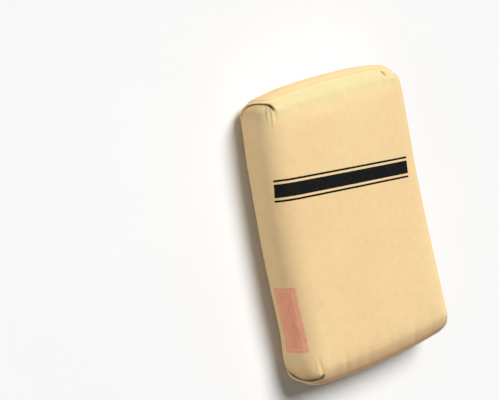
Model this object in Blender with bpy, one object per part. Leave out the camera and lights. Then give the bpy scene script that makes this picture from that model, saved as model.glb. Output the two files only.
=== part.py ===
"""Cement bag: a pasted kraft paper valve sack, filled with cement, lying on its back.

Length runs along Y, width along X and the printed face looks up along +Z.
The bag's frame is centred under it, on the surface that it lies on.
"""
import math

import bmesh
import bpy
from mathutils import Vector

# Overall size of the filled bag, in metres
LENGTH = 0.670
WIDTH = 0.442
THICKNESS = 0.124

# How far the fill pushes each panel out past the plain block
END_CROWN = 0.016
END_BULGE = 0.012
SIDE_CROWN = 0.004
FACE_CROWN = 0.004

# Roundings where the panels meet
ROUND_ACROSS = 0.045
ROUND_LENGTHWISE = 0.022
ROUND_FACE = 0.042
ROUND_BACK = 0.036

# Unevenness of a bag whose fill has settled towards its lower end
SETTLE_TAPER = 0.030
PLAN_BOW = 0.010

# Creases where each narrow side tucks in under the rolled rim of an end
CREASE_DEPTH = 0.006
CREASE_FROM_FAR_END = 0.006
CREASE_FROM_NEAR_END = 0.020
CREASE_REACH_SIDE = 0.013
CREASE_REACH_RIM = 0.004

# Paper
SACK_WALL = 0.0004
PATCH_WALL = 0.0003
PATCH_MARGIN_ACROSS = 0.015
PATCH_MARGIN_UP = 0.013

# Valve sleeve: a flat paper tube through the crease at the far right corner
SLEEVE_WIDTH = 0.062
SLEEVE_REACH = 0.130
SLEEVE_THICKNESS = 0.0026
SLEEVE_WALL = 0.0003
SLEEVE_SHOWS = 0.0025

# Clearances between pieces that touch
PAPER_GAP = 0.0003
FILL_GAP = 0.0008

# How finely the curved panels are divided
LENGTHWISE_STEPS = 9
ACROSS_STEPS = 6
SLEEVE_STEPS_ALONG = 6
SLEEVE_STEPS_ACROSS = 6

HALF_WIDTH = WIDTH / 2 - SIDE_CROWN
HALF_LENGTH = LENGTH / 2 - END_CROWN - END_BULGE
HEIGHT = THICKNESS - FACE_CROWN
MID_HEIGHT = HEIGHT / 2


def clear_scene():
    for item in list(bpy.data.objects):
        bpy.data.objects.remove(item, do_unlink=True)


def paper_material(name, colour, roughness):
    material = bpy.data.materials.new(name)
    material.use_nodes = True
    shader = material.node_tree.nodes["Principled BSDF"]
    shader.inputs["Base Color"].default_value = (*colour, 1.0)
    shader.inputs["Roughness"].default_value = roughness
    shader.inputs["Metallic"].default_value = 0.0
    material.diffuse_color = (*colour, 1.0)
    return material


def clamp(value, low, high):
    return max(low, min(high, value))


def settle(point):
    """Swell, taper and bow a point of the rounded block the way the fill does."""
    across = clamp(point.x / HALF_WIDTH, -1, 1)
    along = clamp(point.y / HALF_LENGTH, -1, 1)
    up = clamp((point.z - MID_HEIGHT) / MID_HEIGHT, -1, 1)
    swell_face = FACE_CROWN * (1 - across ** 2) * (1 - along ** 4) * clamp(point.z / HEIGHT, 0, 1) ** 2
    dome = END_CROWN * (1 - 0.2 * across ** 4) * (1 - up ** 2)
    swell_end = (dome + END_BULGE * (1 - across ** 2)) * along ** 4
    swell_side = SIDE_CROWN * (1 - along ** 2) * (1 - up ** 2) * across ** 4
    x = point.x + math.copysign(swell_side, point.x)
    x = x * (1 - SETTLE_TAPER * along) - PLAN_BOW * (1 - along ** 2)
    y = point.y + math.copysign(swell_end, point.y)
    return Vector((x, y, point.z + swell_face))


def crease_place(end):
    """How far from the block's middle the creases by an end lie: end is 1 for far, -1 for near."""
    return HALF_LENGTH - (CREASE_FROM_FAR_END if end > 0 else CREASE_FROM_NEAR_END)


def crease_depth(point):
    """Depth of the tuck in a narrow side, at a point of the plain block."""
    past_crease = abs(point.y) - crease_place(point.y)
    reach = CREASE_REACH_RIM if past_crease > 0 else CREASE_REACH_SIDE
    up = clamp(abs(point.z - MID_HEIGHT) / MID_HEIGHT, 0, 1)
    on_side = abs(abs(point.x) - HALF_WIDTH) < 1e-6
    return CREASE_DEPTH * math.exp(-(past_crease / reach) ** 2) * (1 - up ** 3) if on_side else 0


def rounded_point(point):
    """Round the plain block's edges, and tuck its narrow sides in at the creases."""
    core = Vector((
        clamp(point.x, ROUND_ACROSS - HALF_WIDTH, HALF_WIDTH - ROUND_ACROSS),
        clamp(point.y, ROUND_LENGTHWISE - HALF_LENGTH, HALF_LENGTH - ROUND_LENGTHWISE),
        clamp(point.z, ROUND_BACK, HEIGHT - ROUND_FACE),
    ))
    radii = Vector((ROUND_ACROSS, ROUND_LENGTHWISE, ROUND_FACE if point.z > core.z else ROUND_BACK))
    offset = point - core
    outward = Vector([part / radius for part, radius in zip(offset, radii)]).normalized()
    rounded = core + Vector([part * radius for part, radius in zip(outward, radii)])
    return rounded - outward * crease_depth(point)


def between(low, high, steps):
    """The places that divide the way from low to high into even steps."""
    return [low + (high - low) * step / steps for step in range(1, steps)]


def rounding_cuts(edge, radius):
    """Distances from the centre at which a rounding is divided."""
    return [edge - radius * (1 - math.tan(math.radians(turn))) for turn in (0, 11.25, 22.5)]


def block_cuts():
    """Planes that divide the plain block along X, Y and Z."""
    across = rounding_cuts(HALF_WIDTH, ROUND_ACROSS) + [HALF_WIDTH - PATCH_MARGIN_ACROSS]
    x_cuts = between(-across[0], across[0], ACROSS_STEPS) + across + [-cut for cut in across]

    y_cuts = []
    for end in (-1, 1):
        crease = crease_place(end)
        along = rounding_cuts(HALF_LENGTH, ROUND_LENGTHWISE)
        along += [crease - 2.3 * CREASE_REACH_SIDE, crease - 0.75 * CREASE_REACH_SIDE, crease]
        along += [(crease + HALF_LENGTH) / 2]
        y_cuts += [end * cut for cut in along]
    smooth = HALF_LENGTH - CREASE_FROM_NEAR_END - 2.3 * CREASE_REACH_SIDE
    y_cuts += between(-smooth, smooth, LENGTHWISE_STEPS)

    above = rounding_cuts(HEIGHT, ROUND_FACE) + [HEIGHT - PATCH_MARGIN_UP]
    below = [HEIGHT - cut for cut in rounding_cuts(HEIGHT, ROUND_BACK)] + [PATCH_MARGIN_UP]
    z_cuts = above + below + [(above[0] + below[0]) / 2]
    return x_cuts, y_cuts, z_cuts


def plain_block():
    """A box of the bag's plain size, divided where the panels bend."""
    mesh = bmesh.new()
    bmesh.ops.create_cube(mesh, size=1.0)
    bmesh.ops.scale(mesh, vec=(2 * HALF_WIDTH, 2 * HALF_LENGTH, HEIGHT), verts=mesh.verts)
    bmesh.ops.translate(mesh, vec=(0, 0, MID_HEIGHT), verts=mesh.verts)
    for axis, cuts in enumerate(block_cuts()):
        normal = Vector((0, 0, 0))
        normal[axis] = 1
        for cut in cuts:
            everything = mesh.verts[:] + mesh.edges[:] + mesh.faces[:]
            bmesh.ops.bisect_plane(mesh, geom=everything, dist=1e-6, plane_co=normal * cut, plane_no=normal)
    return mesh


def keep_patch(mesh, end):
    """Leave only the part of the block's end that a cover patch is pasted over."""
    half_across = HALF_WIDTH - PATCH_MARGIN_ACROSS
    outside = []
    for face in mesh.faces:
        centre = face.calc_center_median()
        on_end = abs(centre.y - end * HALF_LENGTH) < 1e-6
        inside = abs(centre.x) < half_across and PATCH_MARGIN_UP < centre.z < HEIGHT - PATCH_MARGIN_UP
        if not (on_end and inside):
            outside.append(face)
    return outside


def swollen_mesh(outward, end=0):
    """The bag's surface, moved outward along its normals; end picks one end's patch."""
    mesh = plain_block()
    unwanted = keep_patch(mesh, end) if end else []
    for vertex in mesh.verts:
        vertex.co = settle(rounded_point(vertex.co))
    mesh.normal_update()
    moves = [(vertex, vertex.normal * outward) for vertex in mesh.verts]
    for vertex, move in moves:
        vertex.co += move
    bmesh.ops.delete(mesh, geom=unwanted, context="FACES")
    return mesh


def add_object(name, mesh, material, frame):
    data = bpy.data.meshes.new(name)
    mesh.to_mesh(data)
    mesh.free()
    if material:
        data.materials.append(material)
    item = bpy.data.objects.new(name, data)
    bpy.context.scene.collection.objects.link(item)
    item.parent = frame
    data.shade_smooth()
    data.set_sharp_from_angle(angle=math.radians(40))
    return item


def add_wall(item, thickness, side):
    """Give a surface its paper thickness: side is -1 inwards, 1 outwards."""
    wall = item.modifiers.new("paper_wall", "SOLIDIFY")
    wall.thickness = thickness
    wall.offset = side
    wall.use_even_offset = True


def stations(low, high, steps, before, after):
    """Even places from low to high, with one more before and after where asked for."""
    places = [low + (high - low) * step / steps for step in range(steps + 1)]
    if before:
        places.insert(0, low - before)
    if after:
        places.append(high + after)
    return places


def sleeve_mesh(grow, run_out):
    """The flat tube's skin, grown by a clearance and carried on past its mouth by run_out."""
    half_width = SLEEVE_WIDTH / 2
    half_thick = SLEEVE_THICKNESS / 2 + grow
    crease = rounded_point(Vector((HALF_WIDTH, crease_place(1), MID_HEIGHT)))
    mouth = crease.x + SLEEVE_SHOWS
    columns = stations(-half_width, half_width, SLEEVE_STEPS_ACROSS, grow, grow)
    mesh = bmesh.new()
    rings = []
    for x in stations(mouth - SLEEVE_REACH, mouth, SLEEVE_STEPS_ALONG, grow, run_out):
        ring = []
        for sheet in (-1, 1):
            for column in columns:
                place = Vector((x, crease.y + sheet * half_thick, MID_HEIGHT + sheet * column))
                ring.append(mesh.verts.new(settle(place)))
        rings.append(ring)
    for near, far in zip(rings, rings[1:]):
        for index, corner in enumerate(near):
            after = (index + 1) % len(near)
            mesh.faces.new((corner, far[index], far[after]))
            mesh.faces.new((corner, far[after], near[after]))
    return mesh, rings


def make_sleeve(material, frame):
    mesh, _ = sleeve_mesh(0, 0)
    bmesh.ops.recalc_face_normals(mesh, faces=mesh.faces)
    sleeve = add_object("valve_sleeve", mesh, material, frame)
    add_wall(sleeve, SLEEVE_WALL, -1)
    return sleeve


def make_sleeve_cutter(frame):
    """The room that the sleeve takes up in the sack's wall and in the fill."""
    mesh, rings = sleeve_mesh(PAPER_GAP, 2 * CREASE_DEPTH)
    for ring in (rings[0], rings[-1]):
        half = len(ring) // 2
        lower = ring[:half]
        upper = ring[half:][::-1]
        for index in range(half - 1):
            mesh.faces.new((lower[index], lower[index + 1], upper[index + 1], upper[index]))
    bmesh.ops.recalc_face_normals(mesh, faces=mesh.faces)
    cutter = add_object("sleeve_room", mesh, None, frame)
    cutter.hide_render = True
    cutter.display_type = "WIRE"
    return cutter


def cut_with(item, cutter):
    cut = item.modifiers.new("sleeve_room", "BOOLEAN")
    cut.operation = "DIFFERENCE"
    cut.solver = "EXACT"
    cut.object = cutter


def make_sack(material, cutter, frame):
    sack = add_object("kraft_sack", swollen_mesh(0), material, frame)
    add_wall(sack, SACK_WALL, -1)
    cut_with(sack, cutter)
    return sack


def make_fill(material, cutter, frame):
    fill = add_object("cement_fill", swollen_mesh(-(SACK_WALL + FILL_GAP)), material, frame)
    cut_with(fill, cutter)
    return fill


def make_patch(name, end, material, frame):
    patch = add_object(name, swollen_mesh(PAPER_GAP, end), material, frame)
    add_wall(patch, PATCH_WALL, 1)
    return patch


def centred_frame():
    """An empty that brings the middle of the bag's outline over the origin."""
    mesh = swollen_mesh(0)
    xs = [vertex.co.x for vertex in mesh.verts]
    ys = [vertex.co.y for vertex in mesh.verts]
    mesh.free()
    frame = bpy.data.objects.new("bag_frame", None)
    frame.location = (-(min(xs) + max(xs)) / 2, -(min(ys) + max(ys)) / 2, 0)
    bpy.context.scene.collection.objects.link(frame)
    return frame


def main():
    clear_scene()
    frame = centred_frame()
    kraft = paper_material("kraft_paper", (0.80, 0.60, 0.36), 0.75)
    patch_paper = paper_material("patch_paper", (0.76, 0.56, 0.33), 0.75)
    sleeve_paper = paper_material("sleeve_paper", (0.70, 0.52, 0.31), 0.80)
    cement = paper_material("cement_powder", (0.36, 0.36, 0.35), 0.95)
    cutter = make_sleeve_cutter(frame)
    make_sack(kraft, cutter, frame)
    make_fill(cement, cutter, frame)
    make_sleeve(sleeve_paper, frame)
    make_patch("end_patch_far", 1, patch_paper, frame)
    make_patch("end_patch_near", -1, patch_paper, frame)


main()
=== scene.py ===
import math

import bpy
import numpy as np
from mathutils import Euler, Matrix, Vector, kdtree, noise


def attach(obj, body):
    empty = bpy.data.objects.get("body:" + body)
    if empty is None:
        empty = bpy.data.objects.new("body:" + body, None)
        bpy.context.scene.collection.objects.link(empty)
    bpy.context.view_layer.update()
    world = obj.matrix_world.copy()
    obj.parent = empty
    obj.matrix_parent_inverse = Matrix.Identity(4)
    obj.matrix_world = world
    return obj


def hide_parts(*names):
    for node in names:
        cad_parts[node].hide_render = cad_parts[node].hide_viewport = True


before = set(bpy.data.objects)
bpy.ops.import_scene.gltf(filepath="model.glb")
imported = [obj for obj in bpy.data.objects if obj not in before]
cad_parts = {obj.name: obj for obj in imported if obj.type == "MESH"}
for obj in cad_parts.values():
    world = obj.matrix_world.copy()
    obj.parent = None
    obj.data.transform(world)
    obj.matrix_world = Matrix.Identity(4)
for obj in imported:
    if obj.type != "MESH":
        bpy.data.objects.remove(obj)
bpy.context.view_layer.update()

# Size of the filled bag in metres, as its solids have it
LENGTH = 0.670
WIDTH = 0.442
THICKNESS = 0.124
END_CROWN = 0.016
END_BULGE = 0.012
SIDE_CROWN = 0.004
FACE_CROWN = 0.004
ROUND_ACROSS = 0.045
ROUND_LENGTHWISE = 0.022
ROUND_FACE = 0.042
ROUND_BACK = 0.036
SETTLE_TAPER = 0.030
PLAN_BOW = 0.010
HALF_WIDTH = WIDTH / 2 - SIDE_CROWN
HALF_LENGTH = LENGTH / 2 - END_CROWN - END_BULGE
HEIGHT = THICKNESS - FACE_CROWN
MID_HEIGHT = HEIGHT / 2
CORE_LOW = np.array([ROUND_ACROSS - HALF_WIDTH, ROUND_LENGTHWISE - HALF_LENGTH, ROUND_BACK])
CORE_HIGH = np.array([HALF_WIDTH - ROUND_ACROSS, HALF_LENGTH - ROUND_LENGTHWISE, HEIGHT - ROUND_FACE])
SIDE_MIDDLE = (CORE_LOW[2] + CORE_HIGH[2]) / 2

# The end's rounding starts this much nearer its middle in the mesh, so that creases can run on it
EDGE_SHIFT = 0.2

# Where the fill makes the bag uneven: place, reach and push
UNEVEN = (
    ((-0.17, -0.335, 0.03), (0.17, 0.035, 0.07), (0, 0.0065, 0)),
    ((-0.22, -0.255, 0.03), (0.04, 0.042, 0.06), (-0.006, 0, 0)),
    ((-0.20, 0.335, 0.06), (0.09, 0.03, 0.06), (0, -0.003, 0)),
    ((-0.215, -0.345, 0.01), (0.06, 0.04, 0.045), (0.004, 0.006, 0)),
    ((0.200, 0.308, 0.095), (0.032, 0.032, 0.05), (-0.0050, -0.0041, 0)),
)

# How the face rolls off to each end before its rounding: end, depth, distance in from the end, and the reach
# inward and outward of there
SHOULDERS = ((-1, 0.0070, 0.014, 0.015, 0.015), (1, 0.0046, 0.008, 0.030, 0.030))

# Way of each crease round a narrow side: (way round from the side's middle, distance from the end)
FAR_CREASE = (
    (-0.050, 0.0430), (-0.040, 0.0330), (-0.0320, 0.0210), (-0.0245, 0.0095), (-0.0156, 0.0020),
    (-0.0042, -0.0018), (0.0154, -0.0042), (0.0374, -0.0043), (0.0566, 0.0006), (0.0657, 0.0075),
    (0.0715, 0.0175), (0.0726, 0.0281), (0.0712, 0.0400),
)
NEAR_CREASE = (
    (-0.052, 0.0440), (-0.036, 0.0365), (-0.0186, 0.0264), (-0.0112, 0.0222), (-0.0037, 0.0192),
    (0.0084, 0.0170), (0.0210, 0.0160), (0.0342, 0.0147), (0.0438, 0.0129), (0.0570, 0.0112),
    (0.0639, 0.0125), (0.0688, 0.0160), (0.0712, 0.0210), (0.0718, 0.0270),
)
VALVE_CREASE = (
    (-0.054, 0.0360), (-0.046, 0.0180), (-0.0380, 0.0085), (-0.0280, 0.0062), (-0.0140, 0.0060),
    (0.0140, 0.0060), (0.0320, 0.0058), (0.0460, 0.0050), (0.0580, 0.0065), (0.0660, 0.0110),
    (0.0710, 0.0185), (0.0722, 0.0270), (0.0712, 0.0380),
)
NEAR_RIGHT_CREASE = (
    (-0.050, 0.0440), (-0.036, 0.0330), (-0.0200, 0.0240), (-0.0040, 0.0205), (0.0150, 0.0190),
    (0.0340, 0.0172), (0.0500, 0.0148), (0.0600, 0.0140), (0.0665, 0.0165), (0.0704, 0.0215),
    (0.0715, 0.0280),
)

# Each crease: side and end of the bag, its way, the share of it where its crack stops, and how far the crack
# leans to the end and its half width
CREASES = (
    (-1, 1, FAR_CREASE, 0.80, 0.0030, 0.0012),
    (-1, -1, NEAR_CREASE, 0.88, 0.0030, 0.0013),
    (1, 1, VALVE_CREASE, 0.70, 0.0, 0.0021),
    (1, -1, NEAR_RIGHT_CREASE, 0.86, 0.0025, 0.0010),
)

# Bend of the mesh lines along a crease: where on the way round it ends, its reach round and along the bag
CREASE_TURN = 0.0705
CREASE_SPREAD = 0.05
CREASE_BLEND = 0.08

# Shares of a crease's way: where it has faded in, where it starts to fade out, and how long its crack closes
CREASE_FADE_IN = 0.35
CREASE_FADE_OUT = 0.80
CRACK_FADE = 0.10

# Form of a crease: a shallow dip with a narrow crack in it that leans in under the rim
DIP_DEPTH = 0.0026
DIP_REACH_SIDE = 0.010
DIP_REACH_RIM = 0.004
CRACK_DEPTH = 0.0085
CRACK_WALL = 0.0016

# How far from a crease its crack's painted shade, the painted shade on its tucked side and all its effects
# reach
CRACK_SHADE_REACH = 0.0035
TUCK_SHADE = 0.022
CREASE_REACH = 0.11

# Short folds by the creases: side of the bag (-1 left, 1 right, 0 both), end, then start and stop
# as (way round, distance from the end), height, half width
FOLDS = (
    (-1, 1, (0.0489, 0.002), (0.0478, 0.034), -0.0011, 0.0018),
    (-1, 1, (0.0550, 0.002), (0.0530, 0.040), 0.0016, 0.0017),
    (-1, 1, (0.0600, 0.006), (0.0582, 0.040), -0.0013, 0.0017),
    (-1, 1, (0.0652, 0.010), (0.0612, 0.058), 0.0017, 0.0018),
    (-1, 1, (0.0714, 0.018), (0.0695, 0.044), -0.0015, 0.0022),
    (-1, 1, (-0.0109, 0.006), (-0.0092, 0.038), 0.0011, 0.0020),
    (-1, 1, (-0.0175, 0.010), (-0.0190, 0.040), -0.0009, 0.0024),
    (1, 1, (0.1105, -0.009), (0.1030, 0.015), -0.0040, 0.0032),
    (1, 1, (0.1190, -0.002), (0.1150, 0.030), 0.0008, 0.0035),
    (-1, -1, (0.0610, 0.019), (0.0590, 0.070), 0.0007, 0.0017),
    (-1, -1, (0.0688, 0.018), (0.0650, 0.066), -0.0020, 0.0038),
    (-1, -1, (0.0800, 0.016), (0.0860, 0.060), 0.0008, 0.0045),
    (-1, -1, (0.1050, 0.002), (0.1060, 0.048), -0.0009, 0.0065),
    (-1, -1, (0.1240, 0.004), (0.1240, 0.060), 0.0010, 0.0070),
    (-1, -1, (0.1370, 0.002), (0.1360, 0.056), -0.0019, 0.0070),
    (-1, -1, (0.1700, -0.002), (0.1680, 0.048), -0.0011, 0.0080),
    (-1, -1, (0.2050, -0.002), (0.2060, 0.052), -0.0016, 0.0085),
    (1, -1, (0.2300, -0.002), (0.2270, 0.050), -0.0012, 0.0080),
    (1, -1, (0.1750, -0.002), (0.1730, 0.056), -0.0019, 0.0080),
    (1, 1, (0.0120, 0.008), (0.0090, 0.046), 0.0010, 0.0022),
    (1, 1, (-0.0150, 0.016), (-0.0190, 0.044), -0.0009, 0.0024),
    (1, 1, (0.0660, 0.014), (0.0640, 0.048), 0.0010, 0.0018),
    (1, -1, (0.0560, 0.018), (0.0520, 0.054), -0.0010, 0.0020),
    (1, -1, (0.0650, 0.020), (0.0640, 0.062), 0.0012, 0.0018),
    (1, -1, (0.0050, 0.026), (0.0020, 0.060), 0.0009, 0.0024),
    (1, -1, (0.1200, 0.004), (0.1180, 0.050), -0.0010, 0.0055),
)

# How far from the end the folds reach, and over which shares of its way each rises and falls
FOLD_REACH = 0.12
FOLD_RISES = (-0.15, 0.25)
FOLD_FALLS = (0.55, 1.0)

# Painted shade fills the folds deeper than this: how dark it is, and how much narrower than the fold
SHADED_FOLD_DEPTH = 0.003
FOLD_SHADE_STRENGTH = 0.85
FOLD_SHADE_NARROWING = 1.6

# Cloth pass that crumples the paper over the fill, and the unevenness that it starts from
CRUMPLE_CELL = 0.006
CRUMPLE_FRAMES = 20
CRUMPLE_GROWTH = 0.02
CRUMPLE_BENDING = 2
CRUMPLE_HOLD = 0.05
CRUMPLE_PRESSURE = 1
CRUMPLE_ROUNDS = 80
CRUMPLE_CAP = 0.003
CRUMPLE_SHARE = 0.5
CRUMPLE_START = 0.0001

# How the crumple is carried to other points: from how many of its points, and how near
SPREAD_POINTS = 10
SPREAD_REACH = 0.8 * CRUMPLE_CELL

# Slow unevenness of the fill under the paper: wavelength and height
LUMPS = ((0.16, 0.0012), (0.07, 0.0006))

# Spacing of the skin's mesh lines
FLAT_CELL = 0.0042
EDGE_CELL = 0.0021
EDGE_BAND = 0.030
COARSE_TURN = 5
FINE_TURN = 1.6
FINE_FROM = 35
FINE_TO = 76
SIDE_LINES = (
    0.0004, 0.0009, 0.0014, 0.0021, 0.0029, 0.0039, 0.0052, 0.0068, 0.0088, 0.0112, 0.0140, 0.0175, 0.022,
    0.028, 0.036,
)
RIM_LINES = (0.05, 0.12, 0.21, 0.31, 0.41, 0.52, 0.63, 0.74, 0.86)
RIM_SPREAD = 1.3

# The fill under the paper
FILL_DEPTH = 0.0030
FILL_TROUGH = 0.0100
FILL_TROUGH_REACH = 0.014

# Cover patches pasted on the ends
PATCH_MARGIN_ACROSS = 0.015
PATCH_MARGIN_UP = 0.013
PATCH_LIFT = 0.0007
PATCH_TUCK = 0.0005
PATCH_EDGE = 0.0004
PATCH_CELL = 0.0035
PATCH_SHARP = math.radians(35)

# Valve sleeve's mouth: how far from the end its crease runs, half its width up the side, half its thickness,
# its wall, how far in from the side each ring lies, its points round, and the angle of its sharp edges
VALVE_WAY = 0.0060
MOUTH_HALF_WIDTH = 0.031
MOUTH_HALF = 0.0015
MOUTH_WALL = 0.0004
MOUTH_DEPTHS = (0.040, 0.020, 0.012, 0.008, 0.005, 0.0026)
MOUTH_POINTS = 64
MOUTH_SHARP = math.radians(50)

# The mouth's lips: how flat its ring is, how far it is closed inside, and their waves and notches
MOUTH_FLATNESS = 0.6
MOUTH_CLOSED = 0.6
MOUTH_WAVE = 0.0004
MOUTH_WAVES = (190, 410)
MOUTH_NOTCH = 0.0005
MOUTH_NOTCHES = 260

# Black band printed across the face: its middle and turn on the face, and its bars' widths
BAND_MIDDLE = (-0.0275, 0.1065)
BAND_TURN = math.radians(-5.8)
BAND_LENGTH = 0.374
BAND_BAR = 0.029
BAND_LINE = 0.0045
BAND_HEIGHT = 0.048
BAND_SOFT = 0.00025
BAND_RAGGED = 0.0003

# Faded red panel printed on the left side: its reach along the bag and up the side
PANEL_ALONG = (-0.233, -0.086)
PANEL_UP = (0.0450, 0.1030)
PANEL_FRAME = 0.006
PANEL_RULE = 0.0022
PANEL_SOFT = 0.0004
PANEL_RAGGED = 0.0004
RULE_FADED = 0.6

# Limits of paint that belongs to one part of the bag only: its left side, its near half and its face
LEFT_SIDE = (-0.101, -0.1)
NEAR_HALF = (0.0, 0.001)
FACE_SIDE = (MID_HEIGHT, MID_HEIGHT + 0.001)

# Folded flaps that show through the patches: half their overlap, where their corners are folded in, the half
# widths of the lines along and at a slant, and how strongly they show
FLAP_OVERLAP = 0.014
FLAP_CORNER = 0.150
FLAP_CORNER_SOFT = 0.002
FLAP_LINE = 0.0014
FLAP_SLANT = 0.0018
FLAPS_SHOW = 0.12

# Fold that runs round each end, just in from its edge: its place, half width, and how strongly its line of
# painted shade shows
END_FOLD = -0.0050
END_FOLD_HALF = 0.0013
FOLD_SHADE_SHOWS = 0.16

# Where a painted highlight tint makes the face paler and yellower by the far end: along the bag, and up its
# rounding
HIGHLIGHT_TINT_FROM = (0.264, 0.314)
HIGHLIGHT_TINT_ABOVE = (0.078, 0.104)

# Where painted shade darkens the near end's rim under the face: out and in from the end, and up the bag
RIM_SHADE_FROM = (-0.036, -0.022)
RIM_SHADE_TO = (0.032, 0.002)
RIM_SHADE_ABOVE = (0.074, 0.100)

# Paper: its colours, how its clouds differ from them, and the light that it mirrors and scatters
KRAFT = (0.80, 0.595, 0.318)
PATCH_KRAFT = (0.74, 0.545, 0.285)
SLEEVE_KRAFT = (0.66, 0.46, 0.24)
CLOUD_PALE = 1.065
CLOUD_WARM = (1.03, 0.985, 0.955)
PAPER_SHINE = 0.12
PAPER_ROUGHNESS = (0.66, 0.80)
SLEEVE_ROUGHNESS = (0.70, 0.84)

# Scale of the noise along each axis for the paper's fibres, flecks and surface, and the turn of its flecks
FIBRES = (1500, 160, 1500)
FLECKS = (700, 260, 700)
FLECK_TURN = 0.3
SURFACE = (1100, 200, 1100)

# Colours laid over the paper: ink, painted shade in the cracks and along the end folds, and the flaps' lines
INK = (0.005, 0.005, 0.006)
CRACK_SHADE = (0.07, 0.03, 0.01)
FOLD_LINE_SHADE = (0.40, 0.25, 0.11)
FLAP_BROWN = (0.3, 0.2, 0.1)

# Tints that multiply the paper's colour: painted tuck shade, red print, painted highlight, painted rim shade
TUCK_SHADE_TINT = (0.68, 0.65, 0.62)
RED_TINT = (1.10, 0.56, 0.72)
HIGHLIGHT_TINT = (0.81, 0.965, 0.965)
RIM_SHADE_TINT = (0.74, 0.64, 0.65)

# Cement and floor: darker and paler colour
CEMENT = ((0.24, 0.24, 0.23), (0.40, 0.40, 0.39))
FLOOR = ((0.85, 0.85, 0.85), (0.87, 0.87, 0.87))
FLOOR_SIZE = 80

# Light: where the key and the fill come from, their strengths and their angles in degrees
KEY_FROM = (0.7, 1.5, 2.3)
KEY_STRENGTH = 3.70
KEY_ANGLE = 32
FILL_FROM = (-1, 0.2, 0.6)
FILL_STRENGTH = 0.265
FILL_ANGLE = 70

# Surround: its tint, its strength at the horizon and above it, and the heights between which it changes
SURROUND_TINT = (1.0, 0.985, 0.965)
HORIZON = 0.95
AMBIENT = 0.08
HORIZON_BAND = (0.105, 0.19)

# Camera, fitted to the photographed bag's outline
CAMERA_PLACE = (-1.8652, 0.538, 2.2274)
CAMERA_TURN = (0.142, -37.547, -14.849)
LENS = 92.9


def smooth_step(value, low, high):
    """Ease from 0 at low to 1 at high."""
    share = np.clip((value - low) / (high - low), 0, 1)
    return share * share * (3 - 2 * share)


def block_surface(places):
    """Corner points and outward quads of a block divided at those places along X, Y and Z."""
    counts = [len(line) for line in places]
    quads = []
    for axis in range(3):
        across, along = (axis + 1) % 3, (axis + 2) % 3
        first, second = np.meshgrid(np.arange(counts[across]), np.arange(counts[along]), indexing="ij")
        for at_end in (False, True):
            index = [None, None, None]
            index[across] = first
            index[along] = second
            index[axis] = np.full_like(first, counts[axis] - 1 if at_end else 0)
            key = (index[0] * counts[1] + index[1]) * counts[2] + index[2]
            side = np.stack([key[:-1, :-1], key[1:, :-1], key[1:, 1:], key[:-1, 1:]], -1).reshape(-1, 4)
            quads.append(side if at_end else side[:, ::-1])
    keys, corners = np.unique(np.concatenate(quads), return_inverse=True)
    steps = (keys // (counts[1] * counts[2]), keys // counts[2] % counts[1], keys % counts[2])
    points = np.stack([np.asarray(line)[step] for line, step in zip(places, steps)], -1)
    return points, corners.reshape(-1, 4)


def rounding(edge, radius, fine_low=90, fine_high=90):
    """Places that divide a rounding, from its flat side to its edge, finer between two turns."""
    turns = []
    turn = 0
    while turn < 44.9:
        turns.append(turn)
        turn += FINE_TURN if fine_low <= turn < fine_high else COARSE_TURN
    turns = np.radians(np.array(turns + [45]))
    return edge - radius * (1 - np.tan(turns))


def even(low, high, cell=FLAT_CELL):
    """Places between low and high, about one cell apart, without the two ends."""
    count = max(2, round((high - low) / cell))
    return np.linspace(low, high, count + 1)[1:-1]


def skin_places():
    """The mesh lines of the sack's skin along X, Y and Z."""
    xs = rounding(HALF_WIDTH, ROUND_ACROSS, 90 - FINE_TO, 90)
    band = even(xs[0] - EDGE_BAND, xs[0], EDGE_CELL)
    xs = np.concatenate([band, xs])
    xs = np.concatenate([-xs[::-1], even(-xs[0], xs[0]), xs])
    ends = []
    for end in (1, -1):
        base = line_distance(nearest_crease(end))
        beyond = [base * (1 - share) for share in RIM_LINES]
        before = [base + line for line in SIDE_LINES]
        ends.append(HALF_LENGTH - np.array(before[::-1] + [base] + beyond + [0]))
    far, near = ends
    ys = np.concatenate([-near[::-1], even(-near[0], far[0]), far])
    above = rounding(HEIGHT, ROUND_FACE, FINE_FROM, 90)
    below = HEIGHT - rounding(HEIGHT, ROUND_BACK)[::-1]
    zs = np.concatenate([below, even(below[-1], above[0]), above])
    return xs, ys, zs


def way_round(block):
    """Signed way round the bag's section, from the middle of a narrow side: up is positive."""
    inward = CORE_HIGH[0] - np.abs(block[:, 0])
    high = np.clip(block[:, 2], CORE_LOW[2], CORE_HIGH[2])
    above = block[:, 2] - high
    radius = np.where(above > 0, ROUND_FACE, ROUND_BACK)
    turn = np.arctan2(above / radius, np.clip(-inward, 1e-9, None) / ROUND_ACROSS)
    return high - SIDE_MIDDLE + turn * (radius + ROUND_ACROSS) / 2 + np.sign(turn) * np.clip(inward, 0, None)


def from_end(block):
    """Distance from the nearer end along the bag, negative in from the edge of the end itself."""
    reach = np.abs(edge_reach(block))
    along = np.clip(reach[:, 1], 1e-6, None)
    turned = along_turn(along, np.maximum(reach[:, 0], reach[:, 2]))
    distance = HALF_LENGTH - np.abs(block[:, 1])
    return np.where(distance > ROUND_LENGTHWISE, distance, turned)


def along_turn(along, out):
    """Distance from the end on its rounding, where along and out are the shares of it reached each way."""
    turn = (1 - EDGE_SHIFT * along ** 2) * out / along
    return np.where(turn > 1, ROUND_LENGTHWISE * (1 - 1 / turn), ROUND_ACROSS * (turn - 1))


def line_distance(distance):
    """How far from the end a mesh line lies on the block, to run at that distance on the rounded bag."""
    along = np.linspace(1, 0.001, 400)
    rounded = np.interp(distance, along_turn(along, 1.0), ROUND_LENGTHWISE * (1 - along))
    return np.where(distance > ROUND_LENGTHWISE, distance, rounded)


def nearest_crease(end):
    """The least distance from that end that a crease has."""
    ways = [crease for _, crease_end, crease, *_ in CREASES if crease_end == end]
    return min(distance for way in ways for _, distance in way)


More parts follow.
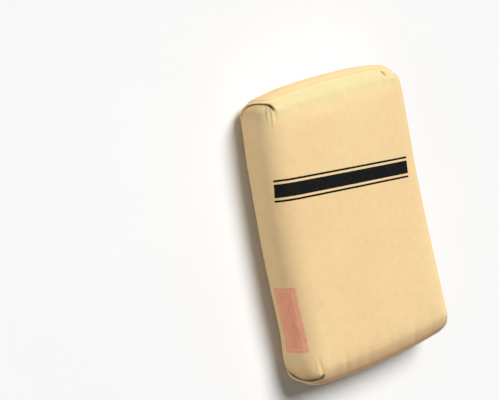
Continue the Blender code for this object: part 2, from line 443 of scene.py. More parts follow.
def smooth_path(points, steps=8):
    """A Catmull-Rom curve through the points."""
    points = np.array(points, dtype=float)
    padded = np.vstack([2 * points[0] - points[1], points, 2 * points[-1] - points[-2]])
    share = np.linspace(0, 1, steps, endpoint=False)[:, None]
    pieces = []
    for before, start, stop, after in zip(padded, padded[1:], padded[2:], padded[3:]):
        bend = (2 * before - 5 * start + 4 * stop - after) * share ** 2
        twist = (3 * start - before - 3 * stop + after) * share ** 3
        pieces.append((2 * start + (stop - before) * share + bend + twist) / 2)
    return np.vstack(pieces + [points[-1:]])


def crease_line(around, crease, base):
    """How far from the end a crease's mesh line lies, on its way round the section."""
    path = smooth_path(crease)
    path = path[:np.argmax(path[:, 0] > CREASE_TURN)]
    line = np.interp(around, path[:, 0], path[:, 1])
    past = np.clip(around - path[-1, 0], 0, None) + np.clip(path[0, 0] - around, 0, None)
    return base + (line - base) * np.exp(-(past / CREASE_SPREAD) ** 2)


def bend_lines(block):
    """Bend the mesh lines by each end so that they follow the creases."""
    around = way_round(block)
    distance = HALF_LENGTH - np.abs(block[:, 1])
    bent = distance.copy()
    for side, end, crease, *_ in CREASES:
        base = nearest_crease(end)
        line = line_distance(base)
        shift = line_distance(crease_line(around, crease, base)) - line
        inner = shift * np.exp(-(np.clip(distance - line, 0, None) / CREASE_BLEND) ** 2)
        outer = shift * (1 - (np.clip(line - distance, 0, None) / line) ** RIM_SPREAD)
        here = (block[:, 0] * side > 0) & (block[:, 1] * end > 0)
        bent = np.where(here, distance + np.where(distance > line, inner, outer), bent)
    moved = block.copy()
    moved[:, 1] = np.sign(block[:, 1]) * (HALF_LENGTH - bent)
    return moved


def edge_reach(points):
    """How far points of the block reach out of its core, from 0 to 1 along each axis, signed."""
    core = np.clip(points, CORE_LOW, CORE_HIGH)
    return (points - core) / radii_at(points)


def radii_at(points):
    """The rounding's radii along each axis at points of the block."""
    radii = np.empty_like(points)
    radii[:, 0] = ROUND_ACROSS
    radii[:, 1] = ROUND_LENGTHWISE
    radii[:, 2] = np.where(points[:, 2] > CORE_HIGH[2], ROUND_FACE, ROUND_BACK)
    return radii


def rounded_block(points):
    """Bring points of the plain block onto the block with rounded edges and ends."""
    reach = edge_reach(points)
    widest = np.maximum(np.abs(reach[:, 0]), np.abs(reach[:, 2]))
    round_share = widest / np.clip(np.hypot(reach[:, 0], reach[:, 2]), 1e-9, None)
    reach[:, [0, 2]] *= (round_share * (1 - EDGE_SHIFT * reach[:, 1] ** 2))[:, None]
    reach /= np.linalg.norm(reach, axis=1, keepdims=True)
    return np.clip(points, CORE_LOW, CORE_HIGH) + reach * radii_at(points)


def settle(points):
    """Swell, taper and bow the rounded block the way the fill does."""
    x, y, z = points.T
    across = np.clip(x / HALF_WIDTH, -1, 1)
    along = np.clip(y / HALF_LENGTH, -1, 1)
    up = np.clip((z - MID_HEIGHT) / MID_HEIGHT, -1, 1)
    swell_face = FACE_CROWN * (1 - across ** 2) * (1 - along ** 4) * np.clip(z / HEIGHT, 0, 1) ** 2
    dome = END_CROWN * (1 - 0.2 * across ** 4) * (1 - up ** 2)
    swell_end = (dome + END_BULGE * (1 - across ** 2)) * along ** 4
    swell_side = SIDE_CROWN * (1 - along ** 2) * (1 - up ** 2) * across ** 4
    wide = x + np.sign(x) * swell_side
    settled = np.stack([
        wide * (1 - SETTLE_TAPER * along) - PLAN_BOW * (1 - along ** 2),
        y + np.sign(y) * swell_end,
        z + swell_face,
    ], -1)
    for end, depth, middle, reach_in, reach_out in SHOULDERS:
        inward = HALF_LENGTH - end * y - middle
        near = np.exp(-(inward / np.where(inward > 0, reach_in, reach_out)) ** 2) * (1 - across ** 8)
        settled[:, 2] -= depth * near * np.clip(z / HEIGHT, 0, 1) ** 4
    for place, reach, push in UNEVEN:
        near = np.exp(-(((settled - place) / reach) ** 2).sum(axis=1))
        settled += near[:, None] * push
    return settled


def new_mesh(name, points, quads):
    """A smooth mesh of those points and quads."""
    mesh = bpy.data.meshes.new(name)
    mesh.from_pydata(points.tolist(), [], quads.tolist())
    mesh.shade_smooth()
    return mesh


def normals_of(points, quads):
    """Outward normals at the points."""
    mesh = new_mesh("measure", points, quads)
    normals = np.empty(len(points) * 3)
    mesh.vertex_normals.foreach_get("vector", normals)
    bpy.data.meshes.remove(mesh)
    return normals.reshape(-1, 3)


def distance_to_path(places, path):
    """Each place's distance to a path, the share of the path there, and if the place lies right of it."""
    nearest = np.full(len(places), 1.0)
    share = np.zeros(len(places))
    right = np.zeros(len(places), dtype=bool)
    lengths = np.linalg.norm(np.diff(path, axis=0), axis=1)
    travelled = np.concatenate([[0], np.cumsum(lengths)])
    for start, stop, length, before in zip(path, path[1:], lengths, travelled):
        way = (stop - start) / length
        reach = places - start
        along = np.clip(reach @ way, 0, length)
        gap = np.linalg.norm(reach - along[:, None] * way, axis=1)
        closer = gap < nearest
        nearest = np.where(closer, gap, nearest)
        share = np.where(closer, (before + along) / travelled[-1], share)
        right = np.where(closer, way[0] * reach[:, 1] < way[1] * reach[:, 0], right)
    return nearest, share, right


def tuck_sides(block, points, normals):
    """Fold each narrow side in under the rims of the ends.

    Gives the points, and how strongly each is darkened by the painted shade of a crack and of a tuck.
    """
    places = np.stack([way_round(block), from_end(block)], -1)
    moved = points.copy()
    painted_crease_shade, painted_tuck_shade = np.zeros(len(block)), np.zeros(len(block))
    near = (places[:, 1] < CREASE_REACH) & (np.abs(places[:, 0]) < CREASE_REACH)
    for side, end, crease, stop, lean, half_width in CREASES:
        here = np.where(near & (block[:, 0] * side > 0) & (block[:, 1] * end > 0))[0]
        gap, share, beyond = distance_to_path(places[here], smooth_path(crease))
        started = smooth_step(share, 0.0, CREASE_FADE_IN)
        dip = DIP_DEPTH * np.exp(-(gap / np.where(beyond, DIP_REACH_RIM, DIP_REACH_SIDE)) ** 2)
        dip *= started * (1 - smooth_step(share, CREASE_FADE_OUT, 1.0))
        cracked = started * (1 - smooth_step(share, stop, stop + CRACK_FADE))
        slot = cracked * (1 - smooth_step(gap, half_width, half_width + CRACK_WALL))
        moved[here] -= normals[here] * (dip + CRACK_DEPTH * slot)[:, None]
        moved[here, 1] += end * lean * slot
        # Painted shade: dark in the crack itself, and soft on the side that tucks in under the rim
        painted_crease_shade[here] = np.maximum(painted_crease_shade[here], cracked * np.exp(-(gap / CRACK_SHADE_REACH) ** 2))
        painted_tuck_shade[here] = np.maximum(painted_tuck_shade[here], cracked * ~beyond * np.exp(-(gap / TUCK_SHADE) ** 2))
    return moved, painted_crease_shade, painted_tuck_shade


def fold_lines(block):
    """Each short fold's rise, the points by it, how many half widths off they lie, and its taper there."""
    places = np.stack([way_round(block), from_end(block)], -1)
    for side, end, start, stop, rise, half_width in FOLDS:
        here = (block[:, 0] * side >= 0) & (block[:, 1] * end > 0) & (places[:, 1] < FOLD_REACH)
        here = np.where(here)[0]
        gap, share, _ = distance_to_path(places[here], np.array([start, stop]))
        taper = smooth_step(share, *FOLD_RISES) * (1 - smooth_step(share, *FOLD_FALLS))
        yield rise, here, gap / half_width, taper


def fold_heights(block):
    """Height of the short folds in the paper over the smooth bag."""
    height = np.zeros(len(block))
    for rise, here, off, taper in fold_lines(block):
        height[here] += rise * np.exp(-off ** 2) * taper
    return height


def painted_fold_shade(block):
    """How strongly painted shade darkens the deepest of the short folds."""
    painted_shade = np.zeros(len(block))
    for rise, here, off, taper in fold_lines(block):
        if rise < -SHADED_FOLD_DEPTH:
            fold_shade = FOLD_SHADE_STRENGTH * np.exp(-(FOLD_SHADE_NARROWING * off) ** 2) * taper
            painted_shade[here] = np.maximum(painted_shade[here], fold_shade)
    return painted_shade


def lump_heights(points):
    """Height of the fill's slow unevenness."""
    height = np.zeros(len(points))
    for number, (wavelength, rise) in enumerate(LUMPS):
        shift = Vector((7.3 * number, 2.1, 0))
        height += rise * np.array([noise.noise(Vector(point) / wavelength + shift) for point in points])
    return height


def local_mean(values, quads, rounds):
    """The values averaged with their neighbours' again and again."""
    edges = np.vstack([quads[:, [0, 1]], quads[:, [1, 2]], quads[:, [2, 3]], quads[:, [3, 0]]])
    edges = np.unique(np.sort(edges, axis=1), axis=0)
    neighbours = np.bincount(edges.ravel(), minlength=len(values))
    for _ in range(rounds):
        total = np.bincount(edges[:, 0], values[edges[:, 1]], len(values))
        total += np.bincount(edges[:, 1], values[edges[:, 0]], len(values))
        values = (values + total / neighbours) / 2
    return values


def even_block():
    """The plain block divided into even cells all over."""
    def arc(edge, radius):
        count = max(2, round(radius * math.pi / 4 / CRUMPLE_CELL))
        return edge - radius * (1 - np.tan(np.linspace(0, math.pi / 4, count + 1)))

    lines = []
    for edge, radius in ((HALF_WIDTH, ROUND_ACROSS), (HALF_LENGTH, ROUND_LENGTHWISE)):
        outer = arc(edge, radius)
        lines.append(np.concatenate([-outer[::-1], even(-outer[0], outer[0], CRUMPLE_CELL), outer]))
    above = arc(HEIGHT, ROUND_FACE)
    below = HEIGHT - arc(HEIGHT, ROUND_BACK)[::-1]
    lines.append(np.concatenate([below, even(below[-1], above[0], CRUMPLE_CELL), above]))
    return block_surface(lines)


def crumpled_paper(centre):
    """A cloth pass on slack paper held to the fill: its places and the wrinkles' heights there."""
    block, quads = even_block()
    points = settle(rounded_block(block)) - centre
    normals = normals_of(points, quads)
    uneven = np.random.default_rng(3).normal(0, CRUMPLE_START, (len(points), 1))
    paper = bpy.data.objects.new("paper", new_mesh("paper", points + normals * uneven, quads))
    scene = bpy.context.scene
    scene.collection.objects.link(paper)
    held = paper.vertex_groups.new(name="held")
    held.add(list(range(len(points))), CRUMPLE_HOLD, "REPLACE")
    cloth = paper.modifiers.new("cloth", "CLOTH")
    cloth.settings.quality = 6
    cloth.settings.mass = 0.3
    cloth.settings.tension_stiffness = 30
    cloth.settings.compression_stiffness = 30
    cloth.settings.shear_stiffness = 15
    cloth.settings.bending_stiffness = CRUMPLE_BENDING
    cloth.settings.use_pressure = True
    cloth.settings.uniform_pressure_force = CRUMPLE_PRESSURE
    cloth.settings.effector_weights.gravity = 0
    cloth.settings.shrink_min = -CRUMPLE_GROWTH
    cloth.settings.vertex_group_mass = "held"
    cloth.settings.pin_stiffness = 0.2
    cloth.collision_settings.use_collision = False
    for step in range(1, CRUMPLE_FRAMES + 1):
        scene.frame_set(step)
    shaped = paper.evaluated_get(bpy.context.evaluated_depsgraph_get()).to_mesh()
    moved = np.empty(len(points) * 3)
    shaped.vertices.foreach_get("co", moved)
    height = ((moved.reshape(-1, 3) - points) * normals).sum(axis=1)
    scene.frame_set(1)
    bpy.data.objects.remove(paper, do_unlink=True)
    height -= local_mean(height, quads, CRUMPLE_ROUNDS)
    return points, CRUMPLE_CAP * np.tanh(height / CRUMPLE_CAP)


def spread(points, sources, values):
    """Carry values from the source points to other points near them."""
    tree = kdtree.KDTree(len(sources))
    for index, source in enumerate(sources):
        tree.insert(source, index)
    tree.balance()
    carried = np.empty(len(points))
    for number, point in enumerate(points):
        found = tree.find_n(point, SPREAD_POINTS)
        weights = np.exp(-(np.array([gap for _, _, gap in found]) / SPREAD_REACH) ** 2)
        carried[number] = values[[index for _, index, _ in found]] @ weights / weights.sum()
    return carried


def add_piece(name, mesh, material, slot, *nodes):
    """A piece that dresses those nodes of the CAD model."""
    mesh.materials.append(material)
    piece = bpy.data.objects.new(name, mesh)
    bpy.context.scene.collection.objects.link(piece)
    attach(piece, "root")
    if nodes:
        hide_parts(*nodes)
    return piece


class Paint:
    """Builds a material's nodes with short calls."""

    def __init__(self, name):
        self.material = bpy.data.materials.new(name)
        self.material.use_nodes = True
        self.nodes = self.material.node_tree.nodes
        self.links = self.material.node_tree.links
        self.shader = self.nodes["Principled BSDF"]
        self.place = self.nodes.new("ShaderNodeTexCoord").outputs["Object"]

    def feed(self, socket, value):
        """Link another node's output to the socket, or set the socket's own value."""
        if isinstance(value, bpy.types.NodeSocket):
            self.links.new(value, socket)
        else:
            socket.default_value = value

    def math(self, operation, first, second=0.0):
        node = self.nodes.new("ShaderNodeMath")
        node.operation = operation
        self.feed(node.inputs[0], first)
        self.feed(node.inputs[1], second)
        return node.outputs[0]

    def stretched(self, scale, turn=0.0):
        """The place on the object, turned about Z and then scaled along each axis."""
        node = self.nodes.new("ShaderNodeMapping")
        node.vector_type = "TEXTURE"
        node.inputs["Rotation"].default_value = (0, 0, turn)
        node.inputs["Scale"].default_value = [1 / part for part in scale]
        self.links.new(self.place, node.inputs["Vector"])
        return node.outputs[0]

    def noise(self, scale, detail=2.0, roughness=0.5, place=None, distortion=0.0):
        node = self.nodes.new("ShaderNodeTexNoise")
        node.inputs["Scale"].default_value = scale
        node.inputs["Detail"].default_value = detail
        node.inputs["Roughness"].default_value = roughness
        node.inputs["Distortion"].default_value = distortion
        self.links.new(place or self.place, node.inputs["Vector"])
        return node.outputs["Fac"]

    def ramp(self, value, low, high, from_value=0.0, to_value=1.0):
        """Map low..high to from_value..to_value, held beyond both ends."""
        node = self.nodes.new("ShaderNodeMapRange")
        node.inputs["From Min"].default_value = low
        node.inputs["From Max"].default_value = high
        node.inputs["To Min"].default_value = from_value
        node.inputs["To Max"].default_value = to_value
        self.links.new(value, node.inputs["Value"])
        return node.outputs[0]

    def mix(self, share, first, second, blend="MIX"):
        node = self.nodes.new("ShaderNodeMix")
        node.data_type = "RGBA"
        node.blend_type = blend
        self.feed(node.inputs["Factor"], share)
        for socket, colour in ((node.inputs[6], first), (node.inputs[7], second)):
            self.feed(socket, colour if isinstance(colour, bpy.types.NodeSocket) else (*colour, 1))
        return node.outputs[2]

    def attribute(self, name):
        node = self.nodes.new("ShaderNodeAttribute")
        node.attribute_name = name
        return node.outputs["Fac"]

    def axes(self):
        node = self.nodes.new("ShaderNodeSeparateXYZ")
        self.links.new(self.place, node.inputs[0])
        return node.outputs

    def inside(self, value, low, high, soft):
        """1 where the value lies between low and high, fading over soft at both limits."""
        rising = self.ramp(value, low - soft, low + soft)
        falling = self.ramp(value, high - soft, high + soft, 1.0, 0.0)
        return self.math("MULTIPLY", rising, falling)

    def line(self, value, half_width):
        """1 where the value is 0, fading over half a line's width."""
        return self.ramp(self.math("ABSOLUTE", value), 0.0, half_width, 1.0, 0.0)

    def bump(self, height, distance, strength, normal=None):
        node = self.nodes.new("ShaderNodeBump")
        node.inputs["Strength"].default_value = strength
        node.inputs["Distance"].default_value = distance
        self.links.new(height, node.inputs["Height"])
        if normal:
            self.links.new(normal, node.inputs["Normal"])
        return node.outputs[0]

    def finish(self, colour, roughness, normal, specular=PAPER_SHINE):
        self.feed(self.shader.inputs["Base Color"], colour)
        self.feed(self.shader.inputs["Roughness"], roughness)
        self.shader.inputs["Specular IOR Level"].default_value = specular
        self.links.new(normal, self.shader.inputs["Normal"])
        return self.material


def kraft_colour(paint, tone):
    """Brown paper: cloudy, fibrous along the bag, with a few darker flecks."""
    pale = [part * CLOUD_PALE for part in tone]
    warm = [part * share for part, share in zip(tone, CLOUD_WARM)]
    clouds = paint.ramp(paint.noise(5.0, 3.0, 0.55), 0.32, 0.68)
    colour = paint.mix(clouds, warm, pale)
    mottle = paint.ramp(paint.noise(55.0, 4.0, 0.65), 0.30, 0.72, 0.962, 1.02)
    fibres = paint.ramp(paint.noise(1.0, 3.0, 0.6, paint.stretched(FIBRES)), 0.3, 0.7, 0.965, 1.02)
    flecks = paint.noise(1.0, 1.0, 0.5, paint.stretched(FLECKS, FLECK_TURN))
    flecks = paint.ramp(flecks, 0.74, 0.80, 1.0, 0.86)
    shade = paint.math("MULTIPLY", paint.math("MULTIPLY", mottle, fibres), flecks)
    grey = paint.nodes.new("ShaderNodeCombineColor")
    for socket in grey.inputs[:3]:
        paint.links.new(shade, socket)
    return paint.mix(1.0, colour, grey.outputs[0], "MULTIPLY")


def kraft_relief(paint):
    """Fine crinkle and fibre of the paper's surface."""
    crinkle = paint.bump(paint.noise(38.0, 3.0, 0.55, distortion=0.6), 0.0016, 0.35)
    fibre = paint.noise(1.0, 3.0, 0.6, paint.stretched(SURFACE))
    return paint.bump(fibre, 0.0001, 0.5, crinkle)


def paper_roughness(paint, low, high):
    """Roughness between low and high in slow patches."""
    return paint.ramp(paint.noise(30.0, 3.0), 0.3, 0.7, low, high)


def black_band(paint):
    """Where the face carries ink: a thick bar between two thin lines, a little ragged at the edges."""
    x, y, z = paint.axes()
    cos, sin = math.cos(BAND_TURN), math.sin(BAND_TURN)
    from_x = paint.math("SUBTRACT", x, BAND_MIDDLE[0])
    from_y = paint.math("SUBTRACT", y, BAND_MIDDLE[1])
    along = paint.math("ADD", paint.math("MULTIPLY", from_x, cos), paint.math("MULTIPLY", from_y, sin))
    up = paint.math("SUBTRACT", paint.math("MULTIPLY", from_y, cos), paint.math("MULTIPLY", from_x, sin))
    ragged = paint.ramp(paint.noise(420.0, 2.0), 0.3, 0.7, -BAND_RAGGED, BAND_RAGGED)
    along = paint.math("ADD", along, ragged)
    up = paint.math("ADD", paint.math("ABSOLUTE", up), ragged)
    bar = paint.inside(up, -1.0, BAND_BAR / 2, BAND_SOFT)
    line = paint.inside(up, BAND_HEIGHT / 2 - BAND_LINE, BAND_HEIGHT / 2, BAND_SOFT)
    length = paint.inside(along, -BAND_LENGTH / 2, BAND_LENGTH / 2, BAND_SOFT)
    printed = paint.math("MULTIPLY", paint.math("MAXIMUM", bar, line), length)
    return paint.math("MULTIPLY", printed, paint.ramp(z, *FACE_SIDE))


def red_panel(paint):
    """Strength of the faded red ink on the left side: a plain panel with a paler inner rule."""
    x, y, z = paint.axes()
    ragged = paint.ramp(paint.noise(300.0, 2.0), 0.3, 0.7, -PANEL_RAGGED, PANEL_RAGGED)
    y = paint.math("ADD", y, ragged)
    z = paint.math("ADD", z, ragged)
    shapes = []
    for inset in (0.0, PANEL_FRAME, PANEL_FRAME + PANEL_RULE):
        along = paint.inside(y, PANEL_ALONG[0] + inset, PANEL_ALONG[1] - inset, PANEL_SOFT)
        up = paint.inside(z, PANEL_UP[0] + inset, PANEL_UP[1] - inset, PANEL_SOFT)
        shapes.append(paint.math("MULTIPLY", along, up))
    panel, frame_inner, field = shapes
    rule = paint.math("SUBTRACT", frame_inner, field)
    worn = paint.ramp(paint.noise(90.0, 4.0, 0.7), 0.28, 0.62, 0.45, 1.0)
    printed = paint.math("SUBTRACT", panel, paint.math("MULTIPLY", rule, RULE_FADED))
    strength = paint.math("MULTIPLY", printed, worn)
    return paint.math("MULTIPLY", strength, paint.ramp(x, *LEFT_SIDE, 1.0, 0.0))


def painted_rim_shade(paint):
    """How strongly painted shade darkens the upper rim in the near half of the bag: none low down, full by
    the face.
    """
    _, y, z = paint.axes()
    return paint.math("MULTIPLY", paint.ramp(z, *RIM_SHADE_ABOVE), paint.ramp(y, *NEAR_HALF, 1.0, 0.0))


def sack_material():
    """Printed kraft with painted shade in its creases, end folds and near rim, and a painted highlight tint
    by the far end.
    """
    paint = Paint("printed_kraft")
    from_end = paint.attribute("from_end")
    colour = kraft_colour(paint, KRAFT)
    # Painted shade: soft by each tuck, and dark in each crease's crack and in the deepest folds
    colour = paint.mix(paint.attribute("painted_tuck_shade"), colour, TUCK_SHADE_TINT, "MULTIPLY")
    colour = paint.mix(paint.attribute("painted_crease_shade"), colour, CRACK_SHADE)
    colour = paint.mix(red_panel(paint), colour, RED_TINT, "MULTIPLY")
    thin = paint.ramp(paint.noise(150.0, 4.0, 0.7), 0.25, 0.5, 0.985, 1.0)
    colour = paint.mix(paint.math("MULTIPLY", black_band(paint), thin), colour, INK)
    # A thin line of painted shade along the fold round each end; the fold also shapes the bump below
    fold = paint.line(paint.math("SUBTRACT", from_end, END_FOLD), END_FOLD_HALF)
    colour = paint.mix(paint.math("MULTIPLY", fold, FOLD_SHADE_SHOWS), colour, FOLD_LINE_SHADE)
    _, y, z = paint.axes()
    # Painted highlight tint on the far end's rounding
    painted_highlight = paint.math("MULTIPLY", paint.ramp(y, *HIGHLIGHT_TINT_FROM), paint.ramp(z, *HIGHLIGHT_TINT_ABOVE))
    painted_highlight = paint.math("MULTIPLY", painted_highlight, paint.ramp(from_end, END_FOLD, END_FOLD + END_FOLD_HALF))
    colour = paint.mix(painted_highlight, colour, HIGHLIGHT_TINT, "MULTIPLY")
    # Painted shade on the near end's upper rim
    painted_shade = paint.math("MULTIPLY", paint.ramp(from_end, *RIM_SHADE_TO), paint.ramp(from_end, *RIM_SHADE_FROM))
    colour = paint.mix(paint.math("MULTIPLY", painted_shade, painted_rim_shade(paint)), colour, RIM_SHADE_TINT, "MULTIPLY")
    relief = paint.bump(paint.math("SUBTRACT", 1.0, fold), 0.0006, 0.6, kraft_relief(paint))
    return paint.finish(colour, paper_roughness(paint, *PAPER_ROUGHNESS), relief)


def patch_material():
    """Kraft with the folded flaps under it showing faintly through, and painted shade on its upper rim at the
    near end.
    """
    paint = Paint("patch_kraft")
    x, _, z = paint.axes()
    out = paint.math("ABSOLUTE", x)
    up = paint.math("ABSOLUTE", paint.math("SUBTRACT", z, MID_HEIGHT))
    past_corner = paint.math("SUBTRACT", out, FLAP_CORNER)
    past_edge = paint.math("SUBTRACT", up, FLAP_OVERLAP)
    inside = paint.ramp(out, FLAP_CORNER - FLAP_CORNER_SOFT, FLAP_CORNER, 1.0, 0.0)
    edge = paint.math("MULTIPLY", paint.line(past_edge, FLAP_LINE), inside)
    corner = paint.line(paint.math("SUBTRACT", past_corner, past_edge), FLAP_SLANT)
    corner = paint.math("MULTIPLY", corner, paint.math("SUBTRACT", 1.0, inside))
    lines = paint.math("MAXIMUM", edge, corner)
    colour = kraft_colour(paint, PATCH_KRAFT)
    colour = paint.mix(paint.math("MULTIPLY", lines, FLAPS_SHOW), colour, FLAP_BROWN)
    # Painted shade on the upper rim at the near end, as on the skin
    colour = paint.mix(painted_rim_shade(paint), colour, RIM_SHADE_TINT, "MULTIPLY")
    flaps = paint.bump(lines, 0.0006, 0.6, kraft_relief(paint))
    return paint.finish(colour, paper_roughness(paint, *PAPER_ROUGHNESS), flaps)


def valve_material():
    """Plain kraft, a little darker and rougher."""
    paint = Paint("valve_kraft")
    colour = kraft_colour(paint, SLEEVE_KRAFT)
    return paint.finish(colour, paper_roughness(paint, *SLEEVE_ROUGHNESS), kraft_relief(paint))


def cement_material():
    """Packed grey powder with small soft lumps."""
    paint = Paint("cement_powder")
    shade = paint.ramp(paint.noise(60.0, 6.0, 0.7), 0.25, 0.75)
    colour = paint.mix(shade, *CEMENT)
    grain = paint.bump(paint.noise(900.0, 4.0, 0.7), 0.0004, 0.8)
    return paint.finish(colour, 0.95, grain, 0.2)


def floor_material():
    """Plain pale floor."""
    paint = Paint("floor")
    shade = paint.ramp(paint.noise(2.0, 2.0), 0.3, 0.7)
    colour = paint.mix(shade, *FLOOR)
    grain = paint.bump(paint.noise(200.0, 2.0), 0.0002, 0.1)
    return paint.finish(colour, 0.9, grain, 0.1)


def bag_centre():
    """Where the middle of the bag's outline lies before it is brought over the origin."""
    block, _ = even_block()
    smooth = settle(rounded_block(block))
    return (smooth.min(axis=0) + smooth.max(axis=0)) / 2 * (1, 1, 0)


def paper_heights(block, points, crumple):
    """How far the paper stands out from the smooth bag at each point."""
    height = fold_heights(block) + lump_heights(points)
    if crumple:
        height += CRUMPLE_SHARE * spread(points, *crumple)
    return height


def make_sack(material, crumple, centre):
    """The sack's skin, with its creases, folds, lumps and crumple."""
    block, quads = block_surface(skin_places())
    block = bend_lines(block)
    smooth = settle(rounded_block(block)) - centre
    normals = normals_of(smooth, quads)
    shaped = smooth + normals * paper_heights(block, smooth, crumple)[:, None]
    shaped, painted_crease_shade, painted_tuck_shade = tuck_sides(block, shaped, normals)
    # The deepest folds get painted shade, as the cracks do
    painted_crease_shade = np.maximum(painted_crease_shade, painted_fold_shade(block))
    shaped[:, 2] = np.clip(shaped[:, 2], 0, None)
    mesh = new_mesh("sack_skin", shaped, quads)
    # The painted shade of cracks and tucks, and the distance from the end, go to the material
    for name, values in (("painted_crease_shade", painted_crease_shade), ("painted_tuck_shade", painted_tuck_shade), ("from_end", from_end(block))):
        mesh.attributes.new(name, "FLOAT", "POINT").data.foreach_set("value", values.astype(np.float32))
    sack = add_piece("sack_skin", mesh, material, "kraft_paper", "kraft_sack")


def sheet_places(low, high):
    """Mesh lines of a sheet from low to high, with one more beyond each edge for its turned-down rim."""
    return np.concatenate([[low - PATCH_EDGE, low], even(low, high, PATCH_CELL), [high, high + PATCH_EDGE]])


def make_patch(name, end, node, material, crumple, centre):
    """A sheet pasted flat on an end, its edges turned down to the sack."""
    wide = HALF_WIDTH - PATCH_MARGIN_ACROSS
    xs = sheet_places(-wide, wide)
    zs = sheet_places(PATCH_MARGIN_UP, HEIGHT - PATCH_MARGIN_UP)
    x, z = np.meshgrid(xs, zs, indexing="ij")
    block = np.stack([x.ravel(), np.full(x.size, end * HALF_LENGTH), z.ravel()], -1)
    index = np.arange(x.size).reshape(x.shape)
    quads = np.stack([index[:-1, :-1], index[:-1, 1:], index[1:, 1:], index[1:, :-1]], -1).reshape(-1, 4)
    quads = quads if end > 0 else quads[:, ::-1]
    smooth = settle(rounded_block(block)) - centre
    normals = normals_of(smooth, quads)
    lift = np.full(x.shape, -PATCH_TUCK)
    lift[1:-1, 1:-1] = PATCH_LIFT
    shaped = smooth + normals * (paper_heights(block, smooth, crumple) + lift.ravel())[:, None]
    shaped, *_ = tuck_sides(block, shaped, normals)
    mesh = new_mesh(name, shaped, quads)
    mesh.set_sharp_from_angle(angle=PATCH_SHARP)
    add_piece(name, mesh, material, "patch_paper", node)


def make_valve(material, centre):
    """The flat paper sleeve's open mouth in the corner's crease, with wavy lips."""
    turns = np.linspace(0, 2 * math.pi, MOUTH_POINTS, endpoint=False)
    flat = np.sign(np.sin(turns)) * np.abs(np.sin(turns)) ** MOUTH_FLATNESS
    long_wave, short_wave = MOUTH_WAVES
    rings = []
    for wall, depths in ((0, MOUTH_DEPTHS), (MOUTH_WALL, MOUTH_DEPTHS[::-1])):
        for depth in depths:
            up = np.cos(turns) * (MOUTH_HALF_WIDTH - wall)
            level = np.full(len(up), HALF_LENGTH - line_distance(VALVE_WAY))
            block = np.stack([np.full(len(up), HALF_WIDTH), level, SIDE_MIDDLE + up], -1)
            ring = settle(rounded_block(block)) - centre
            opened = smooth_step(-depth, -MOUTH_DEPTHS[1], -MOUTH_DEPTHS[-1])
            wave = MOUTH_WAVE * opened * (np.sin(up * long_wave) + 0.6 * np.sin(up * short_wave + 1))
            notch = MOUTH_NOTCH * opened * np.sin(up * MOUTH_NOTCHES + np.sign(flat))
            ring[:, 0] += notch - depth
            ring[:, 1] += flat * (MOUTH_HALF * (MOUTH_CLOSED + (1 - MOUTH_CLOSED) * opened) - wall) + wave
            rings.append(ring)
    points = np.concatenate(rings)
    ring, step = np.meshgrid(np.arange(len(rings) - 1), np.arange(MOUTH_POINTS), indexing="ij")
    after = (step + 1) % MOUTH_POINTS
    first, second = ring * MOUTH_POINTS, (ring + 1) * MOUTH_POINTS
    quads = np.stack([first + step, first + after, second + after, second + step], -1).reshape(-1, 4)
    mesh = new_mesh("valve_mouth", points, quads)
    mesh.set_sharp_from_angle(angle=MOUTH_SHARP)
    add_piece("valve_mouth", mesh, material, "sleeve_paper", "valve_sleeve")


def make_fill(material, crumple, centre):
    """The cement just under the paper, with a trough under each crease."""
    block, quads = even_block()
    smooth = settle(rounded_block(block)) - centre
    normals = normals_of(smooth, quads)
    depth = FILL_DEPTH - paper_heights(block, smooth, crumple)
    places = np.stack([way_round(block), from_end(block)], -1)
    for side, end, crease, *_ in CREASES:
        gap, _, _ = distance_to_path(places, smooth_path(crease))
        here = (block[:, 0] * side > 0) & (block[:, 1] * end > 0)
        depth += np.where(here, FILL_TROUGH * np.exp(-(gap / FILL_TROUGH_REACH) ** 2), 0)
    shaped = smooth - normals * depth[:, None]
    shaped[:, 2] = np.clip(shaped[:, 2], FILL_DEPTH / 2, None)
    mesh = new_mesh("cement_core", shaped, quads)
    add_piece("cement_core", mesh, material, "cement_powder", "cement_fill")


def make_stage():
    """The floor under the bag."""
    bpy.ops.mesh.primitive_plane_add(size=FLOOR_SIZE)
    floor = bpy.context.object
    floor.name = "floor"
    floor.data.materials.append(floor_material())


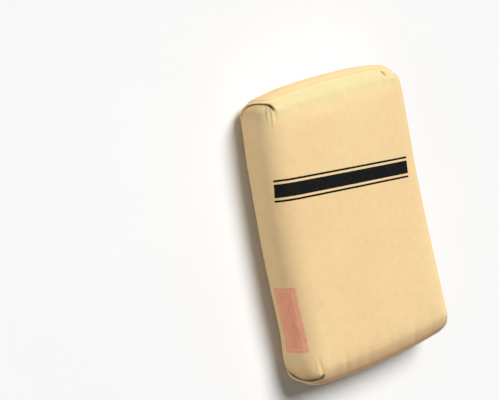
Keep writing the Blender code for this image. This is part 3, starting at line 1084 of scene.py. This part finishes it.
def make_lights():
    """A soft key from beyond the far end, a weak fill from the left, and a surround white at the horizon."""
    world = bpy.data.worlds.new("studio")
    bpy.context.scene.world = world
    world.use_nodes = True
    nodes, links = world.node_tree.nodes, world.node_tree.links
    surround = nodes["Background"]
    surround.inputs["Color"].default_value = (*SURROUND_TINT, 1)
    direction = nodes.new("ShaderNodeSeparateXYZ")
    links.new(nodes.new("ShaderNodeTexCoord").outputs["Generated"], direction.inputs[0])
    strength = nodes.new("ShaderNodeMapRange")
    strength.interpolation_type = "SMOOTHSTEP"
    for name, value in zip(("From Min", "From Max", "To Min", "To Max"), (*HORIZON_BAND, HORIZON, AMBIENT)):
        strength.inputs[name].default_value = value
    links.new(direction.outputs["Z"], strength.inputs["Value"])
    links.new(strength.outputs[0], surround.inputs["Strength"])
    suns = (("key", KEY_FROM, KEY_STRENGTH, KEY_ANGLE), ("fill", FILL_FROM, FILL_STRENGTH, FILL_ANGLE))
    for name, place, energy, angle in suns:
        light = bpy.data.lights.new(name, "SUN")
        light.angle = math.radians(angle)
        light.energy = energy
        lamp = bpy.data.objects.new(name, light)
        lamp.rotation_euler = (-Vector(place)).to_track_quat("-Z", "Y").to_euler()
        bpy.context.scene.collection.objects.link(lamp)


def make_camera():
    """The photo's view of the bag."""
    data = bpy.data.cameras.new("camera")
    data.lens = LENS
    data.sensor_width = 36
    camera = bpy.data.objects.new("camera", data)
    camera.location = CAMERA_PLACE
    camera.rotation_euler = Euler([math.radians(turn) for turn in CAMERA_TURN])
    bpy.context.scene.collection.objects.link(camera)
    bpy.context.scene.camera = camera


middle = bag_centre()
crumple = crumpled_paper(middle)
make_sack(sack_material(), crumple, middle)
make_fill(cement_material(), crumple, middle)
patch_paper = patch_material()
make_patch("patch_sheet_far", 1, "end_patch_far", patch_paper, crumple, middle)
make_patch("patch_sheet_near", -1, "end_patch_near", patch_paper, crumple, middle)
make_valve(valve_material(), middle)
make_stage()
make_lights()
make_camera()
bpy.context.scene.view_settings.view_transform = "Standard"
